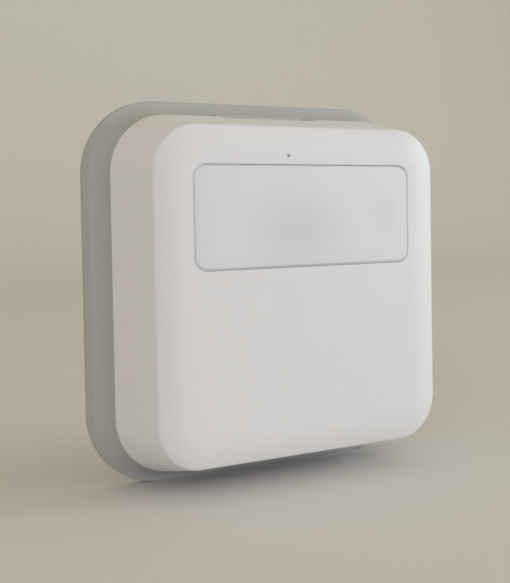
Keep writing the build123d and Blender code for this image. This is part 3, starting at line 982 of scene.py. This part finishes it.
def release_button():
    """The pressed strip, the slider under it and the nose that stands out from the slider."""
    back = -BUTTON_BACK
    strip_low = BUTTON_TOP - BUTTON_THICK
    nose_low, nose_high = NOSE_ZS
    bm = bmesh.new()
    add_block(bm, (-BUTTON_HALF, -BUTTON_FRONT, strip_low), (BUTTON_HALF, back, BUTTON_TOP))
    button = make_piece("release_button_skin", bm)
    bm = bmesh.new()
    add_block(bm, (-SLIDER_HALF, -SLIDER_FRONT, BUTTON_BOTTOM), (SLIDER_HALF, back, strip_low + 0.2))
    add(button, bm)
    bm = bmesh.new()
    add_block(bm, (-NOSE_HALF, -NOSE_FRONT, nose_low), (NOSE_HALF, -SLIDER_FRONT + 0.2, nose_high))
    add(button, bm)
    round_edges(button, BUTTON_EDGE, 3)
    apply_modifiers(button)
    finish_piece(button, "release_button", "grey_plastic", BUTTON_PAINTED_LIGHTER, "release_button")


# Springs and cells


def spring(name, body, node, place_in_frame, start, end, coil):
    """A wire coil laid along its own Z between two heights, and turned into place."""
    wire = coil[-1]
    bm = bmesh.new()
    add_wire(bm, [place_in_frame @ point for point in coil_points(start, end, *coil)], wire)
    piece = make_piece(name, bm)
    finish_piece(piece, body, "nickel", NICKEL, node)
    return piece


def release_coil():
    low, high = cad_box("release_spring")
    upright = Matrix.Translation((0, -SPRING_DEPTH, 0))
    piece = spring("release_coil", "wall_plate", "release_spring", upright, low.z, high.z, RELEASE_COIL)
    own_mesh(piece)


def tamper_coil():
    low, high = cad_box("tamper_spring")
    outward = Matrix.Translation((TAMPER_X, 0, TAMPER_Z)) @ Matrix.Rotation(math.pi / 2, 4, "X")
    piece = spring("tamper_coil", "sensor_body", "tamper_spring", outward, -high.y, -low.y, TAMPER_COIL)
    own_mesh(piece)


def cell_coil(row, side):
    """The tapered spring behind a cell's flat end; side is the end of the body that it stands at."""
    node = row + "_battery_spring"
    low, high = cad_box(node)
    middle = (low + high) / 2
    start, end = (low.x, high.x) if side < 0 else (-high.x, -low.x)
    turn = Matrix.Rotation(-side * math.pi / 2, 4, "Y")
    place_in_frame = Matrix.Translation((0, middle.y, middle.z)) @ turn
    spring(row + "_cell_coil", "sensor_body", node, place_in_frame, start, end, CELL_COIL)


def can_profile(flat, tip, side, can):
    """The can's outline as (x, radius) points, from its flat end's middle to its nub's tip."""
    seal_x = NUB_LENGTH + SEAL_SUNK
    flat_end = [
        (CAN_STEP, 0.0),
        (CAN_STEP, DISH_RADII[0]),
        (0.0, DISH_RADII[1]),
        (0.0, can - CAN_ROUND),
        (CAN_STEP, can - CAN_STEP),
        (CAN_ROUND, can),
    ]
    nub_end = [
        (NUB_LENGTH + CAN_ROUND, can),
        (NUB_LENGTH + CAN_STEP, can - CAN_STEP),
        (NUB_LENGTH, can - CAN_ROUND),
        (NUB_LENGTH, can - 2 * CAN_ROUND),
        (seal_x, can - 2 * CAN_ROUND - CAN_STEP),
        (seal_x, NUB_RADIUS + NUB_ROUND),
        (NUB_LENGTH - 0.05, NUB_RADIUS + 0.05),
        (0.3, NUB_RADIUS),
        (0.08, NUB_RADIUS - 0.12),
        (0.0, NUB_RADIUS - NUB_ROUND),
        (0.0, 0.0),
    ]
    return [(flat + side * x, r) for x, r in flat_end] + [(tip - side * x, r) for x, r in nub_end]


def cell_axis(row):
    """The Y and Z of a cell's centre line."""
    low, high = cad_box(row + "_cell")
    middle = (low + high) / 2
    return middle.y, middle.z


def cell_can(row, side):
    """The steel can; side is the way its nub points."""
    low, high = cad_box(row + "_cell")
    flat, tip = (low.x, high.x) if side > 0 else (high.x, low.x)
    bm = bmesh.new()
    add_turned(bm, can_profile(flat, tip, side, (high.z - low.z) / 2), *cell_axis(row))
    finish_piece(make_piece(row + "_cell_can", bm), row + "_battery", "nickel", NICKEL, row + "_cell")


def cell_jacket(row, side):
    """The thin printed tube round the can, with its two ends shrunk in."""
    low, high = cad_box(row + "_sleeve")
    outer = (high.z - low.z) / 2
    start, end = (low.x, high.x) if side > 0 else (high.x, low.x)
    run, drop = JACKET_ROUND
    points = [
        (start, outer - drop),
        (start + side * run, outer),
        (end - side * run, outer),
        (end, outer - drop),
        (end, outer - JACKET_THICK),
        (start, outer - JACKET_THICK),
    ]
    bm = bmesh.new()
    join_rings(bm, turned_rings(bm, points, *cell_axis(row)), closed=True)
    piece = make_piece(row + "_cell_jacket", bm)
    finish_piece(piece, row + "_battery", "battery_jacket", JACKETS[side], row + "_sleeve")


# Stage, light and camera


def stage():
    """A plain pale floor that curves up far behind the object."""
    bm = bmesh.new()
    floor = PLATE_LOW.z
    section = [(STAGE_NEAR, floor), (STAGE_BACK, floor)]
    for step in range(1, STAGE_STEPS + 1):
        angle = math.radians(90 * step / STAGE_STEPS)
        y = STAGE_BACK + STAGE_CURVE * math.sin(angle)
        section.append((y, floor + STAGE_CURVE * (1 - math.cos(angle))))
    section.append((STAGE_BACK + STAGE_CURVE, STAGE_TOP))
    rows = []
    for x in (-STAGE_HALF, STAGE_HALF):
        rows.append([bm.verts.new(Vector((x, y, z)) * MM) for y, z in section])
    for i in range(len(section) - 1):
        bm.faces.new((rows[0][i], rows[0][i + 1], rows[1][i + 1], rows[1][i]))
    floor_piece = make_piece("floor", bm)
    smooth(floor_piece, 60)
    material, _, _, shader = new_material("pale_floor")
    shader.inputs["Base Color"].default_value = STAGE_COLOUR
    shader.inputs["Roughness"].default_value = 0.8
    floor_piece.data.materials.append(material)


def area_light(name, location, power, colour):
    """A round soft lamp that points at the origin."""
    light = bpy.data.lights.new(name, "AREA")
    light.shape = "DISK"
    light.size = LAMP_SIZE
    light.energy = power
    light.color = colour
    lamp = bpy.data.objects.new(name, light)
    lamp.location = Vector(location) * MM
    lamp.rotation_euler = (-Vector(location)).to_track_quat("-Z", "Y").to_euler()
    bpy.context.scene.collection.objects.link(lamp)


def lights():
    """A cool key lamp on the right, a cool fill lamp on the left and a warm, even surround."""
    area_light("key", *KEY_LAMP)
    area_light("fill", *FILL_LAMP)
    world = bpy.data.worlds.new("studio")
    world.use_nodes = True
    background = world.node_tree.nodes["Background"]
    background.inputs["Color"].default_value = WORLD_COLOUR
    background.inputs["Strength"].default_value = WORLD_STRENGTH
    bpy.context.scene.world = world


def camera():
    """Looks at the sensor from its left, level with the window and about 20 cm away."""
    yaw, pitch, roll = (math.radians(angle) for angle in (CAMERA_YAW, CAMERA_PITCH, CAMERA_ROLL))
    ahead = Vector((math.sin(yaw) * math.cos(pitch), math.cos(yaw) * math.cos(pitch), math.sin(pitch)))
    right = Vector((math.cos(yaw), -math.sin(yaw), 0))
    up = right.cross(ahead)
    rolled_right = math.cos(roll) * right + math.sin(roll) * up
    rolled_up = math.cos(roll) * up - math.sin(roll) * right
    lens_data = bpy.data.cameras.new("camera")
    lens_data.lens = CAMERA_LENS
    lens_data.sensor_width = 36.0
    lens_data.shift_x, lens_data.shift_y = CAMERA_SHIFT
    lens_data.clip_start = 0.01
    eye = bpy.data.objects.new("camera", lens_data)
    turn = Matrix((rolled_right, rolled_up, -ahead)).transposed()
    eye.matrix_world = Matrix.Translation(Vector(CAMERA_PLACE) * MM) @ turn.to_4x4()
    bpy.context.scene.collection.objects.link(eye)
    bpy.context.scene.camera = eye


camera()
stage()
lights()
dress_cad_nodes()
front_cover()
lens()
wall_plate()
guide_lips()
release_button()
release_coil()
tamper_coil()
cell_coil("upper", -1)
cell_coil("lower", 1)
for cell_row, nub_side in (("upper", 1), ("lower", -1)):
    cell_can(cell_row, nub_side)
    cell_jacket(cell_row, nub_side)
bpy.context.scene.view_settings.view_transform = "Standard"
